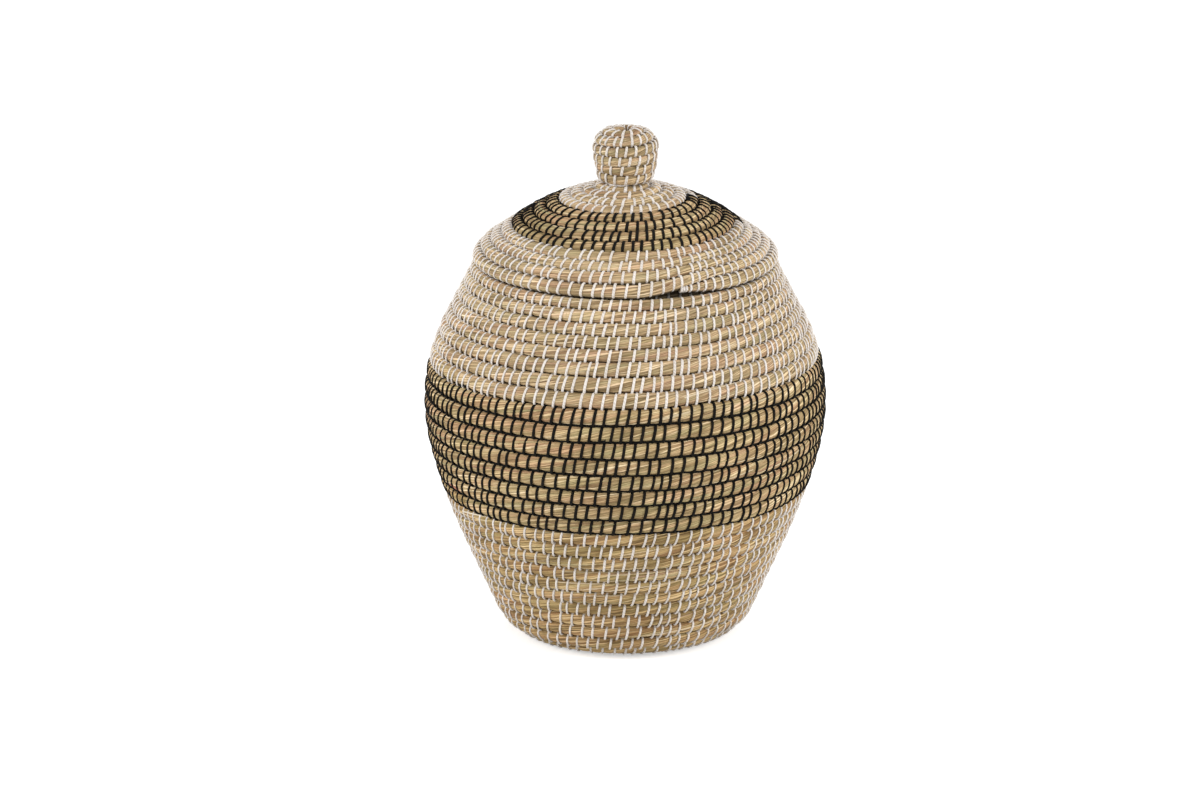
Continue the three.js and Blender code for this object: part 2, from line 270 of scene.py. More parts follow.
class Coil:
    """A bundle wound in a spiral. Its turns are counted back from the tip of its tail, and winding is
    1 where they run anticlockwise seen from above. place gives the distance along the outline at
    which a number of courses ends. tail is the length of the tail in turns, tip the height of its end
    and notch the dip before it. Blades lie along it with a twist in radians a mm. spacings are how far
    apart the stitches are at the tail and at the other end."""

    def __init__(self, outline, place, thickness, turns, azimuth, winding, tail, tip, notch, seed,
                 spacings, twist=0.03, squareness=2.6, pinch=0.1, depth=1):
        self.outline, self.place, self.thickness = outline, place, thickness
        self.azimuth, self.winding = math.radians(azimuth), winding
        # depth is how strongly shade is painted into the grooves.
        self.tail, self.tip, self.notch, self.depth = tail, tip, notch, depth
        self.seed, self.twist, self.roundness, self.pinch = seed, twist, 2 / squareness, pinch
        self.sewn_to = 1 if place(1.0) > place(0.0) else -1
        random = np.random.default_rng(seed)
        walk = np.linspace(0, turns, WALK_STEPS)
        self.wander = np.zeros((2, 2))
        radius = np.abs(self.section(walk)[0])
        length = np.concatenate([[0], np.cumsum((radius[1:] + radius[:-1]) / 2 * np.diff(walk) * TURN)])
        knots = np.arange(0, length[-1], WANDER_LENGTH)
        strayed = WANDER * random.uniform(-1, 1, len(knots))
        self.wander = np.stack([np.interp(knots, length, walk), strayed])
        self.stitches = self.sewn(walk, TURN * radius, spacings, random)
        after = np.append(self.stitches[1:], turns)
        shares = np.arange(STEPS_PER_STITCH) / STEPS_PER_STITCH
        between = self.stitches[:, None] + (after - self.stitches)[:, None] * shares
        self.stations = np.concatenate([[0], between.ravel(), [turns]])
        self.along = np.interp(self.stations, walk, length)
        nipped = np.full(len(self.stations), NIP_BETWEEN)
        nipped[1:-1:STEPS_PER_STITCH] = 1
        along = self.along[:, None] + 0 * SECTION_ANGLES
        proud = drift(along / PROUD_LENGTH, self.blade(along, SECTION_ANGLES), BLADES_ROUND, seed + 1)
        swell = drift(along / SWELL_LENGTH, 0 * along, 1, seed + 2)
        self.swelling = 1 - pinch * nipped[:, None] + PROUD_HEIGHT * proud + SWELL_HEIGHT * swell

    def sewn(self, walk, girth, spacings, random):
        """The turns that the stitches lie at. They crowd at the tail, and further in most are set
        beside a stitch of the course before, so that the ends of two stitches don't meet."""
        places = []
        turn = 0
        while turn < walk[-1]:
            places.append(turn)
            round_once = np.interp(turn, walk, girth)
            spacing = np.interp(turn, [0, walk[-1]], spacings)
            step = spacing * random.uniform(1 - SPACING_SPREAD, 1 + SPACING_SPREAD) / round_once
            if len(places) <= len(CROWDING):
                step *= CROWDING[len(places) - 1]
            turn += step
            wanted = turn - 1 + BESIDE / round_once
            index = bisect.bisect(places, wanted)
            near = min(places[max(index - 1, 0):index + 1], key=lambda place: abs(place - wanted))
            if abs(near - wanted) < BESIDE_REACH * step:
                turn += near - wanted + random.uniform(-BESIDE_SPREAD, BESIDE_SPREAD) * step
        return np.array(places[:-1]) + places[1] / 2

    def edge(self, turns):
        """How many courses the lower edge of a course lies from the finished edge. The tail thins so
        that the finished edge is about level, and the step over it is shared out further in."""
        lead = self.tail * self.tip / (1 - self.tip)
        course = np.floor(turns + lead) - 1
        part = turns - 1 - course
        ramp = np.clip((part + lead) / (self.tail + lead), 0, 1)
        ramp = ramp * ramp * (3 - 2 * ramp)
        evenness = np.minimum(1, course / LEVEL_COURSES)
        inset = EDGE_INSET + self.notch * np.exp(-(turns / (NOTCH_REACH * self.tail)) ** 2)
        wander = np.interp(turns, *self.wander) * np.clip((turns - 1) / self.tail, 0, 1)
        further_in = course + ramp + (part - ramp) * evenness + wander
        return np.maximum(EDGE_INSET, np.where(course < 0, inset, further_in))

    def section(self, turns):
        """The middle's radius, height and heading, the half height and the thickness."""
        near, far = self.place(self.edge(turns)), self.place(self.edge(turns + 1))
        share = np.minimum(1, self.edge(turns + 1) - self.edge(turns))
        thickness = self.thickness(turns) * np.sqrt(share)
        return (*self.outline.at((near + far) / 2), np.abs(far - near) / 2, thickness)

    def blade(self, along, theta):
        """Which blade lies at a place along the bundle and round it, counted round the bundle."""
        return (theta + self.twist * along) / TURN * BLADES_ROUND

    def ring(self, theta, half_height, thickness):
        """Points round a section: how far each lies out through the wall, and up along it."""
        out, up = (np.sign(f(theta)) * np.abs(f(theta)) ** self.roundness for f in (np.cos, np.sin))
        return out * np.where(out > 0, 0.5, BACK_SHARE) * thickness, up * half_height

    def placed(self, turns, out, up, aside=0):
        """The points that lie out and up from the middle of a section, and aside along the coil."""
        new_axes = (1,) * (np.ndim(out) - turns.ndim)
        r, z, heading = (value.reshape(value.shape + new_axes) for value in self.section(turns)[:3])
        angle = self.azimuth + self.winding * TURN * turns.reshape(r.shape)
        angle = angle + aside / np.maximum(r, LEAST_RADIUS)
        radius = r + out * np.sin(heading) + up * np.cos(heading)
        height = z - out * np.cos(heading) + up * np.sin(heading)
        return np.stack([radius * np.cos(angle), radius * np.sin(angle), height + 0 * angle], -1)

    def surface(self, turns, theta, lift, swelling=None):
        """Points that stand a height over the face of the bundle."""
        half_height, thickness = self.section(turns)[3:]
        if swelling is None:
            row = np.interp(turns, self.stations, np.arange(len(self.stations))) + 0 * theta
            first = SECTION_ANGLES[0]
            column = np.interp(
                (theta - first) % TURN + first,
                np.append(SECTION_ANGLES, first + TURN),
                np.arange(len(SECTION_ANGLES) + 1),
            )
            swelling = sampled(self.swelling, row, column)
        out, up = self.ring(theta, half_height, thickness)
        out = out * (swelling + lift / (thickness / 2))
        return self.placed(turns, out, up * ((1 + 2 * swelling) / 3 + lift / half_height))

    def top(self, start):
        """The height of the highest point from a turn on."""
        r, z, heading, half_height, thickness = self.section(self.stations[self.stations >= start])
        return (z - thickness / 2 * np.cos(heading)).max()

    def bundle(self, name, start, stop, lowest=-math.inf, hidden_from=math.inf):
        """The bundle between two turns, nipped in at each stitch, with some of its blades proud. Shade
        is painted on its grass in the grooves and above the height that it is hidden from."""
        first, last = np.searchsorted(self.stations, [start, stop])
        here = slice(first, min(last, len(self.stations) - 1) + 1)
        turns, along = self.stations[here, None], self.along[:, None] + 0 * SECTION_ANGLES
        points = self.surface(turns, SECTION_ANGLES[None], 0, self.swelling[here])
        points[..., 2] = np.maximum(points[..., 2], lowest)
        turned = (SECTION_ANGLES + self.twist * along)[here]
        girth = np.maximum(self.section(turns)[3], LEAST_GIRTH)
        strand = np.stack([along[here], girth * np.cos(turned), girth * np.sin(turned)], -1)
        patch = self.blade(along, SECTION_ANGLES) / PATCH_BLADES
        tint = drift(along / TONE_LENGTH, patch, BLADES_ROUND // PATCH_BLADES, self.seed + 3)[here]
        # Painted shade: in the grooves, weaker where depth is smaller, none on the last turn, full
        # above hidden_from.
        height_share = np.abs(np.sin(SECTION_ANGLES)) ** self.roundness
        groove = np.clip((height_share - GROOVE_START) / (GROOVE_END - GROOVE_START), 0, 1)
        groove = groove * self.depth * np.clip(self.stations[-1] - turns, 0, 1)
        groove = np.maximum(groove, points[..., 2] > hidden_from)
        return tubes(name, points[None], False, strand, tint, groove)


class Wire:
    """A socket that takes part in sums. A sum adds Math nodes, and node adds any other kind."""

    def __init__(self, tree, socket=None):
        self.tree, self.socket = tree, socket

    def node(self, kind, settings=None, inputs=None, output=0):
        made = self.tree.nodes.new(kind)
        for key, value in (settings or {}).items():
            if key == "stops":
                ramp = made.color_ramp.elements
                while len(ramp) < len(value):
                    ramp.new(1)
                for stop, (place, colour) in zip(ramp, value):
                    stop.position, stop.color = place, (*colour, 1)
            else:
                setattr(made, key, value)
        for key, value in (inputs or {}).items():
            if isinstance(value, Wire):
                self.tree.links.new(value.socket, made.inputs[key])
            else:
                made.inputs[key].default_value = value
        return Wire(self.tree, made.outputs[output])

    def feeds(self, socket):
        self.tree.links.new(self.socket, socket)

    def maths(self, operation, *values):
        return self.node("ShaderNodeMath", {"operation": operation}, dict(enumerate(values)))

    def __add__(self, other):
        return self.maths("ADD", self, other)

    def __sub__(self, other):
        return self.maths("SUBTRACT", self, other)

    def __rsub__(self, other):
        return self.maths("SUBTRACT", other, self)

    def __mul__(self, other):
        return self.maths("MULTIPLY", self, other)

    __radd__ = __add__
    __rmul__ = __mul__

    def stored(self, name, output="Fac"):
        """A value that the mesh keeps at its points."""
        return self.node("ShaderNodeAttribute", {"attribute_name": name}, output=output)

    def clamped(self, low, high):
        return self.node("ShaderNodeMapRange", {"clamp": True}, {0: self, 1: low, 2: high})

    def scaled(self, size):
        return self.node("ShaderNodeVectorMath", {"operation": "DIVIDE"}, {0: self, 1: size})

    def noise(self, size, detail=2, roughness=0.5):
        """Noise whose grain has a size in mm along the strand, and two across it."""
        inputs = {"Vector": self.scaled(size), "Detail": detail, "Roughness": roughness, "Scale": 1}
        return self.node("ShaderNodeTexNoise", {}, inputs)

    def cells(self, size, feature, output):
        """Long cells with hard edges, each of which takes a random value of its own."""
        inputs = {"Vector": self.scaled(size), "Scale": 1}
        return self.node("ShaderNodeTexVoronoi", {"feature": feature}, inputs, output)

    def mixed(self, share, colour, blend="MIX"):
        """This colour with a share of another."""
        settings = {"data_type": "RGBA", "blend_type": blend}
        return self.node("ShaderNodeMix", settings, {0: share, 6: self, 7: colour}, 2)

    def bump(self, strength, distance):
        inputs = {"Strength": strength, "Distance": distance, "Height": self}
        return self.node("ShaderNodeBump", {}, inputs)


def new_material(name):
    material = bpy.data.materials.new(name)
    material.use_nodes = True
    return material, material.node_tree.nodes["Principled BSDF"], Wire(material.node_tree)


def seagrass(name, darkest, dark, middle, light, palest, red, olive):
    """Dry blades lying along the bundle: a tone for each blade, fine fibres, dark cracks between."""
    material, shader, wire = new_material(name)
    strand, tint, groove = wire.stored("strand", "Vector"), wire.stored("tint"), wire.stored("groove")
    blade = wire.node("ShaderNodeSeparateXYZ", {}, {0: strand.cells(BLADE_GRAIN, "F1", "Color")}, "X")
    seam = strand.cells(BLADE_GRAIN, "DISTANCE_TO_EDGE", "Distance").clamped(0, SEAM_WIDTH)
    fibre = strand.noise(FIBRE_GRAIN, 3, 0.6)
    patch = strand.noise(PATCH_GRAIN, 1) + tint * 0.16
    tone = blade * BLADE_SHARE + fibre * (1 - BLADE_SHARE)
    stops = list(zip(TONE_STOPS, (darkest, dark, middle, light, palest)))
    colour = wire.node("ShaderNodeValToRGB", {"stops": stops}, {0: tone})
    colour = colour.mixed(patch.clamped(0.52, 0.74) * RED_SHARE, (*red, 1))
    colour = colour.mixed((1 - patch).clamped(0.52, 0.72) * OLIVE_SHARE, (*olive, 1))
    crease = wire.node(
        "ShaderNodeCombineColor",
        {},
        {0: seam * 0.53 + 0.47, 1: seam * 0.58 + 0.42, 2: seam * 0.65 + 0.35},
    )
    # Shade is painted where the mesh marks a groove: a share of the colour goes to a near black.
    colour = colour.mixed(1.0, crease, "MULTIPLY").mixed(groove * GROOVE_SHADE, DEEP_SHADE)
    height = blade * 0.4 + fibre * 0.5 + seam * 0.6
    colour.feeds(shader.inputs["Base Color"])
    (0.8 - fibre * 0.2).feeds(shader.inputs["Roughness"])
    height.bump(0.75, 0.0006).feeds(shader.inputs["Normal"])
    shader.inputs["Specular IOR Level"].default_value = 0.2
    return material


def fitted(piece, material, body, slot, *nodes):
    """Finishes a piece: its material, the body it moves with, the solids it stands for. slot is not
    used.
    """
    piece.data.materials.append(material)
    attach(piece, body)
    if nodes:
        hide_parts(*nodes)


wall_outline = (
    Outline(0, LOWER_THICKNESS * (1 / 2 - STANDING_SHARE), 0)
    .line(BASE_RADIUS)
    .arc(FOOT_BEND, FLARE_HEADING)
    .line(FLARE_LENGTH)
    .arc(BELLY_BEND, BELLY_HEADING)
    .arc(SHOULDER_BEND, NECK_HEADING)
    .line(NECK_LENGTH)
)
upper_courses = UPPER_TURNS - 1 / 2
band_courses = upper_courses + BAND_TURNS
finer_runs = [(1, RIM_PITCH), (upper_courses - 1, UPPER_PITCH), (BAND_TURNS, BAND_PITCH)]
wall_turns = band_courses + (wall_outline.length - reach(band_courses, *finer_runs)) / LOWER_PITCH
wall_runs = [*finer_runs, (wall_turns + 1 - band_courses, LOWER_PITCH)]
band_bottom_turn = UPPER_TURNS + BAND_TURNS
foot_turn = band_bottom_turn + LOWER_TURNS
thickness_turns = [
    UPPER_TURNS - THICKNESS_EASE, UPPER_TURNS + THICKNESS_EASE,
    band_bottom_turn - THICKNESS_EASE, band_bottom_turn + THICKNESS_EASE,
]
thicknesses = [UPPER_THICKNESS, BAND_THICKNESS, BAND_THICKNESS, LOWER_THICKNESS]
wall_coil = Coil(
    wall_outline,
    place=lambda courses: wall_outline.length - reach(courses, *wall_runs),
    thickness=lambda turns: np.interp(turns, thickness_turns, thicknesses),
    turns=wall_turns,
    azimuth=RIM_TAIL_AZIMUTH,
    winding=-1,
    tail=0.1,
    tip=0.4,
    notch=0.1,
    seed=11,
    spacings=WALL_SPACINGS,
)
brown_straw = seagrass(
    "brown_straw_seagrass",
    darkest=(0.155, 0.095, 0.034),
    dark=(0.312, 0.206, 0.086),
    middle=(0.485, 0.328, 0.144),
    light=(0.605, 0.42, 0.196),
    palest=(0.81, 0.62, 0.345),
    red=(0.47, 0.26, 0.12),
    olive=(0.37, 0.295, 0.12),
)
base = wall_coil.bundle("base_courses", foot_turn, wall_turns, lowest=FLOOR_CLEARANCE)
fitted(base, brown_straw, "basket", "seagrass_white_sewn", "base_coil")

# The white sewing of the basket
# Twisted white string about 2 mm thick goes over each new course about every 9 mm, leans a little to
# the right, and bites into the course below, which it holds. Black string takes over for the band, a
# quarter turn further on than the thicker grass, at the back left. The loops close inside.
STRING_WIDTH = 2.1
LOWER_STRING_WIDTH = 1.9
STRING_HEIGHT = 1.6
STRING_RAISED = 0.35
STRING_SPREAD = 0.08
STRING_SIDES = 5
SPOKES = np.arange(STRING_SIDES) / STRING_SIDES * TURN
STRING_PATTERN = 400
PLY_ALONG, PLY_ROUND = 2.6, 2.2
FUZZ_GRAIN = (0.6, 0.5, 0.5)
LEAN = 0.17
LEAN_SPREAD = 0.05
BITE = 1.1
HIDDEN_END = -0.9
BITING_SIDE = 0.1
STRING_CLEARANCE = 0.1
STRING_LAG = 0.25
LOOP_ANGLES = np.radians([-90, -66, -44, -22, 0, 22, 44, 66, 90, 128, 180, 232])
STITCH_CELL = 7


def sewing(coil, name, start, stop, width=STRING_WIDTH, bite=BITE, lean=LEAN, lowest=-math.inf,
           hidden_from=math.inf):
    """The stitches over the courses between two turns, each a closed loop of string. One end bites
    into the next course and the other is hidden in the groove."""
    sewn = coil.stitches[(coil.stitches >= start) & (coil.stitches < stop)]
    random = np.random.default_rng(coil.seed + int(start * 10))
    half_height, thickness = (value[:, None] for value in coil.section(sewn)[3:])
    out, up = coil.ring(LOOP_ANGLES[None], half_height, thickness * (1 - coil.pinch))
    lift = STRING_HEIGHT * STRING_RAISED
    sinks = np.where(np.sin(LOOP_ANGLES) * coil.sewn_to > BITING_SIDE, bite, HIDDEN_END)
    up = up * (1 + (lift + sinks) / half_height)
    out = out * (1 + lift / (thickness / 2))
    tilt = lean + random.uniform(-LEAN_SPREAD, LEAN_SPREAD, (len(sewn), 1))
    before, after = (np.roll(np.stack([out, up], -1), shift, 1) for shift in (1, -1))
    run = after - before
    normal = np.stack([run[..., 1], -run[..., 0]], -1) / np.linalg.norm(run, axis=-1, keepdims=True)
    size = random.uniform(1 - STRING_SPREAD, 1 + STRING_SPREAD, (len(sewn), 1, 1))
    high = STRING_HEIGHT / 2 * size * np.cos(SPOKES)
    wide = width / 2 * size * np.sin(SPOKES)
    points = coil.placed(
        sewn,
        out[..., None] + normal[..., :1] * high,
        up[..., None] + normal[..., 1:] * high,
        (tilt * up)[..., None] + wide,
    )
    points[..., 2] = np.maximum(points[..., 2], lowest)
    walked = np.cumsum(np.linalg.norm(run / 2, axis=-1), axis=1)[..., None] + 0 * SPOKES
    walked = walked + random.uniform(0, STRING_PATTERN, (len(sewn), 1, 1))
    strand = np.stack([walked, np.cos(SPOKES) + 0 * walked, np.sin(SPOKES) + 0 * walked], -1)
    tint = random.uniform(-1, 1, (len(sewn), 1, 1)) + 0 * walked
    sheets = max(1, round(math.sqrt(len(sewn) / STITCH_CELL)))
    # Stitches above hidden_from are marked for painted shade.
    return tubes(name, points, True, strand, tint, points[..., 2] > hidden_from, sheets)


def string(name, colour, shade, roughness, shine):
    """Two-ply string: the plies show as a fine slant, and its tone drifts from stitch to stitch."""
    material, shader, wire = new_material(name)
    strand, tint, groove = wire.stored("strand", "Vector"), wire.stored("tint"), wire.stored("groove")
    along = wire.node("ShaderNodeSeparateXYZ", {}, {0: strand}, "X")
    across = wire.node("ShaderNodeSeparateXYZ", {}, {0: strand}, "Z")
    ply = wire.maths("SINE", along * PLY_ALONG + across * PLY_ROUND) * 0.5 + 0.5
    fuzz = strand.noise(FUZZ_GRAIN, 2)
    # The valleys between the plies are painted towards the darker colour, a painted shade that follows
    # the bump; fuzz and tint vary the string's own tone.
    shading = (fuzz * 0.5 + (1 - ply) * 0.35 + tint * 0.18).clamped(0.15, 0.75)
    tones = {6: (*colour, 1), 7: (*shade, 1)}
    shaded = wire.node("ShaderNodeMix", {"data_type": "RGBA"}, {0: shading, **tones}, 2)
    # Shade is painted where the mesh marks it, on stitches hidden under the lid's brim.
    shaded.mixed(groove * GROOVE_SHADE, DEEP_SHADE).feeds(shader.inputs["Base Color"])
    (ply + fuzz * 0.4).bump(0.6, 0.0003).feeds(shader.inputs["Normal"])
    (fuzz * 0.2 + roughness).feeds(shader.inputs["Roughness"])
    shader.inputs["Specular IOR Level"].default_value = shine
    return material


white_string = string(
    "white_string",
    colour=(0.74, 0.695, 0.655),
    shade=(0.55, 0.5, 0.45),
    roughness=0.65,
    shine=0.3,
)
black_string = string(
    "black_string",
    colour=(0.003, 0.0027, 0.0022),
    shade=(0.009, 0.0075, 0.0055),
    roughness=0.6,
    shine=0.08,
)
black_start, black_stop = UPPER_TURNS + STRING_LAG, band_bottom_turn + STRING_LAG
base_stitches = sewing(
    wall_coil, "base_stitches", foot_turn, wall_turns, LOWER_STRING_WIDTH, lowest=STRING_CLEARANCE
)
fitted(base_stitches, white_string, "basket", "white_string")
lower_stitches = sewing(
    wall_coil, "lower_wall_stitches", black_stop, foot_turn, LOWER_STRING_WIDTH, lowest=STRING_CLEARANCE
)
fitted(lower_stitches, white_string, "basket", "white_string")
upper_stitches = sewing(wall_coil, "upper_wall_stitches", 0, black_start)
fitted(upper_stitches, white_string, "basket", "white_string")

# The lower wall
# Eleven courses of the same bundle climb from the foot to the belly, each standing a little further
# out than the last. Their grass is browner than further up.
lower_wall = wall_coil.bundle("lower_wall_courses", band_bottom_turn, foot_turn, lowest=FLOOR_CLEARANCE)
fitted(lower_wall, brown_straw, "basket", "seagrass_white_sewn", "lower_wall_coil")

# The black band round the belly
# Eight thicker courses are sewn with black string, which also lies in the grooves where it passes
# from one stitch to the next, so that the grooves show black.
BLACK_STRING_WIDTH = 2.4
RUN_DEPTH = 0.27
RUN_WIDTH = 1.9
RUN_WANDER = 0.5
RUN_SWAY = 0.25


def running_string(coil, name, start, stop):
    """The string in the groove between the courses from start to stop and the ones they are sewn to."""
    turns = coil.stations[(coil.stations >= start) & (coil.stations <= stop)][::2]
    half_height, thickness = coil.section(turns)[3:]
    random = np.random.default_rng(coil.seed + 50)
    depth = RUN_DEPTH * thickness + random.uniform(-RUN_WANDER, RUN_WANDER, len(turns))
    sway = random.uniform(-RUN_SWAY, RUN_SWAY, (len(turns), 1))
    out = depth[:, None] + RUN_WIDTH / 2 * np.cos(SPOKES)
    up = coil.sewn_to * half_height[:, None] + sway + RUN_WIDTH / 2 * np.sin(SPOKES)
    along = np.interp(turns, coil.stations, coil.along)[:, None] + 0 * SPOKES
    strand = np.stack([along, np.cos(SPOKES) + 0 * along, np.sin(SPOKES) + 0 * along], -1)
    return tubes(name, coil.placed(turns, out, up)[None], False, strand, 0 * along)


olive_straw = seagrass(
    "olive_straw_seagrass",
    darkest=(0.22, 0.15, 0.067),
    dark=(0.4, 0.285, 0.14),
    middle=(0.565, 0.41, 0.214),
    light=(0.685, 0.51, 0.272),
    palest=(0.86, 0.69, 0.44),
    red=(0.57, 0.33, 0.19),
    olive=(0.445, 0.385, 0.19),
)
band = wall_coil.bundle("black_band_courses", UPPER_TURNS, band_bottom_turn)
fitted(band, olive_straw, "basket", "seagrass_black_sewn", "black_band_coil")
band_stitches = sewing(wall_coil, "black_band_stitches", black_start, black_stop, BLACK_STRING_WIDTH)
fitted(band_stitches, black_string, "basket", "black_string")
band_run = running_string(wall_coil, "black_band_running_string", black_start, black_stop)
fitted(band_run, black_string, "basket", "black_string")

# The upper wall
# Eight finer courses draw in to the mouth. The bundle thins out in a tail at the back right, so that
# the rim ends level.
straw = seagrass(
    "straw_seagrass",
    darkest=(0.225, 0.152, 0.072),
    dark=(0.41, 0.298, 0.161),
    middle=(0.58, 0.428, 0.242),
    light=(0.7, 0.52, 0.302),
    palest=(0.84, 0.675, 0.45),
    red=(0.55, 0.325, 0.2),
    olive=(0.42, 0.355, 0.187),
)
upper_wall = wall_coil.bundle("upper_wall_courses", 0, UPPER_TURNS)
fitted(upper_wall, straw, "basket", "seagrass_white_sewn", "upper_wall_coil")

# The lid
# The lid is a shallow dome coiled the same way from its middle outwards: four white-sewn courses,
# four black-sewn ones and a white brim, whose tail ends with crowded stitches at the front right.
LID_OVERHANG = 3.3
BRIM_HEADING = 115
BRIM_LENGTH = 3.5
BRIM_BEND = 25
SLOPE_HEADING = 145.8
SLOPE_LENGTH = 28.2
DOME_BEND = 180
CROWN_HEADING = 161.5
LID_PITCH, CROWN_PITCH, LID_THICKNESS = 10.7, 10.1, 11
LID_BRIM_TURNS, LID_BAND_TURNS = 4.2, 4
LID_TAIL_AZIMUTH = -69
LID_SPACINGS = (8.6, 7.5)
LID_BITE = 0.3
LID_LEAN = 0.15

lid_outline = (
    Outline(wall_outline.end[0] + LID_OVERHANG, 0, BRIM_HEADING)
    .line(BRIM_LENGTH)
    .arc(BRIM_BEND, SLOPE_HEADING)
    .line(SLOPE_LENGTH)
    .arc(DOME_BEND, CROWN_HEADING)
    .line_to_axis()
)
outer_courses = LID_BRIM_TURNS + LID_BAND_TURNS - 1 / 2
lid_turns = outer_courses + (lid_outline.length - outer_courses * LID_PITCH) / CROWN_PITCH
lid_runs = [(outer_courses, LID_PITCH), (lid_turns + 1 - outer_courses, CROWN_PITCH)]
lid_coil = Coil(
    lid_outline,
    place=lambda courses: reach(courses, *lid_runs),
    thickness=lambda turns: LID_THICKNESS + 0 * turns,
    turns=lid_turns,
    azimuth=LID_TAIL_AZIMUTH,
    winding=1,
    tail=0.055,
    tip=0.52,
    notch=0.26,
    seed=23,
    spacings=LID_SPACINGS,
    twist=-0.018,
    squareness=2.8,
    pinch=0.11,
    depth=0.85,
)
crown_turn = LID_BRIM_TURNS + LID_BAND_TURNS
lid_outline.raised(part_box("lid_crown_coil")[1].z / MM - lid_coil.top(crown_turn))
for zone, start, stop, colour, grass, thread, width in (
    ("lid_brim", 0, LID_BRIM_TURNS, "white", straw, white_string, STRING_WIDTH),
    ("lid_band", LID_BRIM_TURNS, crown_turn, "black", olive_straw, black_string, BLACK_STRING_WIDTH),
    ("lid_crown", crown_turn, lid_turns, "white", straw, white_string, STRING_WIDTH),
):
    courses = lid_coil.bundle(zone + "_courses", start, stop)
    fitted(courses, grass, "lid", f"seagrass_{colour}_sewn", zone + "_coil")
    stitches = sewing(lid_coil, zone + "_stitches", start, stop, width, LID_BITE, LID_LEAN)
    fitted(stitches, thread, "lid", colour + "_string")

# The locating ring
# A coil two courses deep is sewn under the brim with white string. It drops into the mouth and keeps
# the lid from sliding off.
RING_PITCH, RING_THICKNESS = 10.2, 9.6
RING_PLAY = 2.5
RING_TURNS = 1.9
RING_TIP_AZIMUTH = 75
RING_SPACINGS = (10, 10)
RING_HIDDEN = 3
mouth_radius = wall_outline.end[0] - BACK_SHARE * UPPER_THICKNESS
ring_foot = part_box("lid_locating_ring")[0].z / MM
ring_coil = Coil(
    Outline(mouth_radius - RING_PLAY - RING_THICKNESS / 2, ring_foot, 90).line(2 * RING_PITCH),
    place=lambda courses: courses * RING_PITCH,
    thickness=lambda turns: RING_THICKNESS + 0 * turns,
    turns=RING_TURNS,
    azimuth=RING_TIP_AZIMUTH,
    winding=-1,
    tail=0.1,
    tip=0.4,
    notch=0,
    seed=37,
    spacings=RING_SPACINGS,
)
# Above this height the ring's grass and string are painted with deep shade, so that the gap under the
# brim shows dark.
hidden_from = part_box("upper_wall_coil")[1].z / MM - RING_HIDDEN
ring_courses = ring_coil.bundle("lid_ring_courses", 0, RING_TURNS, hidden_from=hidden_from)
fitted(ring_courses, straw, "lid", "seagrass_white_sewn", "lid_locating_ring")
ring_stitches = sewing(ring_coil, "lid_ring_stitches", 0, RING_TURNS, hidden_from=hidden_from)
fitted(ring_stitches, white_string, "lid", "white_string")

# The knob
# A small coil of thinner bundle is wound round a ball of grass and closed over its top. Its courses
# are pressed close and sewn with white string, and the last stitches meet in the middle of the top.
KNOB_FOOT_RADIUS = 16.5
KNOB_FOOT_HEADING = 67
KNOB_SIDE_BEND = 69
KNOB_SHOULDER_BEND = 10.2
KNOB_CAP_HEADING = 164
KNOB_PITCH, KNOB_THICKNESS = 8.85, 8
KNOB_TAIL_AZIMUTH = 111
KNOB_SPACINGS = (7.1, 6.8)
KNOB_STRING_WIDTH = 1.8
KNOB_LEAN = 0.12
knob_outline = (
    Outline(KNOB_FOOT_RADIUS, 0, KNOB_FOOT_HEADING)
    .arc(KNOB_SIDE_BEND, 90)
    .arc(KNOB_SHOULDER_BEND, KNOB_CAP_HEADING)
    .arc_to_axis()
)
knob_turns = knob_outline.length / KNOB_PITCH
knob_coil = Coil(
    knob_outline,
    place=lambda courses: courses * KNOB_PITCH,
    thickness=lambda turns: KNOB_THICKNESS + 0 * turns,
    turns=knob_turns,
    azimuth=KNOB_TAIL_AZIMUTH,
    winding=1,
    tail=0.2,
    tip=0.4,
    notch=0,
    seed=41,
    spacings=KNOB_SPACINGS,
    twist=-0.045,
    squareness=3.2,
    depth=0.45,
)
knob_outline.raised(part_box("knob_coil")[1].z / MM - knob_coil.top(0))
knob_courses = knob_coil.bundle("knob_courses", 0, knob_turns)
fitted(knob_courses, straw, "lid", "seagrass_white_sewn", "knob_coil")
knob_stitches = sewing(
    knob_coil, "knob_stitches", 0, knob_turns, KNOB_STRING_WIDTH, LID_BITE, KNOB_LEAN
)
fitted(knob_stitches, white_string, "lid", "white_string")

# The stuffing of the knob
# Offcuts of the same grass are rolled into a ball, which the knob's courses are wound over.
STUFFING_RINGS, STUFFING_SIDES = 24, 36
STUFFING_GAP = 0.6
LEAST_BALL_RADIUS = 0.2
LUMP_HEIGHT = 0.05
LUMPS_UP, LUMPS_ROUND, LUMP_SLANT = 8, 9, 3
BALL_GIRTH = 90
stuffing_low, stuffing_high = (corner.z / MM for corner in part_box("knob_stuffing"))
share = np.linspace(0, 1, STUFFING_RINGS)
side_r, side_z, side_heading = knob_outline.at(knob_outline.length * share)
inset = BACK_SHARE * KNOB_THICKNESS + STUFFING_GAP
side_r = np.maximum(side_r - inset * np.sin(side_heading), LEAST_BALL_RADIUS)
side_z = np.clip(side_z + inset * np.cos(side_heading), stuffing_low + STUFFING_GAP, stuffing_high)
around = np.arange(STUFFING_SIDES) / STUFFING_SIDES
share = share[:, None]
lumps = drift(share * LUMPS_UP + 0 * around, around * LUMPS_ROUND + share * LUMP_SLANT, LUMPS_ROUND, 53)
side_r = side_r[:, None] * (1 + LUMP_HEIGHT * (lumps - 1))
ball_points = np.stack(
    [side_r * np.cos(around * TURN), side_r * np.sin(around * TURN), side_z[:, None] + 0 * side_r], -1
)
ball_strand = np.stack([around * BALL_GIRTH + 0 * side_r, side_z[:, None] + 0 * side_r, side_r], -1)
ball = tubes("knob_stuffing_ball", ball_points[None], False, ball_strand, lumps)
fitted(ball, brown_straw, "lid", "grass_stuffing", "knob_stuffing")

